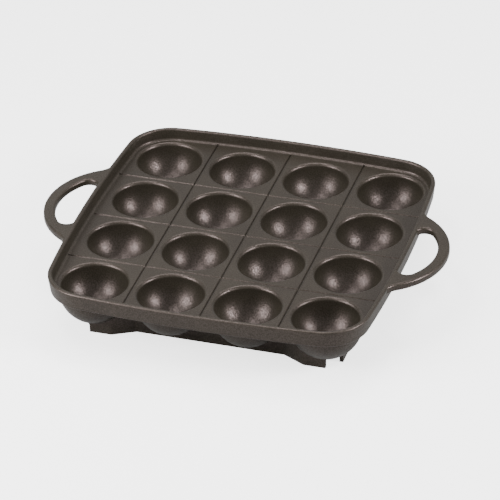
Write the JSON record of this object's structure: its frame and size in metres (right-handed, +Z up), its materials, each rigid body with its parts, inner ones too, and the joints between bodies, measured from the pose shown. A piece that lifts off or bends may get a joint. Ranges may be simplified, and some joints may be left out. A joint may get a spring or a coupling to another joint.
{
  "type": "takoyaki pan",
  "caption": "Cast square pan for a stove with rows of half-round bowls in a rimmed deck, a loop handle on each side and bent walls to stand on.",
  "frame": {"origin": "on the surface the pan stands on, under the middle of the deck", "axes": "+Z up, X through the two handles, -Y the side towards the viewer in the picture"},
  "size_m": [0.265, 0.2142, 0.0399],
  "materials": {
    "coated_casting": "satin dark grey-brown non-stick coating, fine-grained"
  },
  "bodies": {
    "root": {"deck_border": "coated_casting", "rim": "coated_casting", "cup_1_1": "coated_casting", "cup_1_2": "coated_casting", "cup_1_3": "coated_casting", "cup_1_4": "coated_casting", "cup_2_1": "coated_casting", "cup_2_2": "coated_casting", "cup_2_3": "coated_casting", "cup_2_4": "coated_casting", "cup_3_1": "coated_casting", "cup_3_2": "coated_casting", "cup_3_3": "coated_casting", "cup_3_4": "coated_casting", "cup_4_1": "coated_casting", "cup_4_2": "coated_casting", "cup_4_3": "coated_casting", "cup_4_4": "coated_casting", "handle_left": "coated_casting", "handle_right": "coated_casting", "support_front": "coated_casting", "support_back": "coated_casting", "support_left": "coated_casting", "support_right": "coated_casting"}
  },
  "joints": []
}
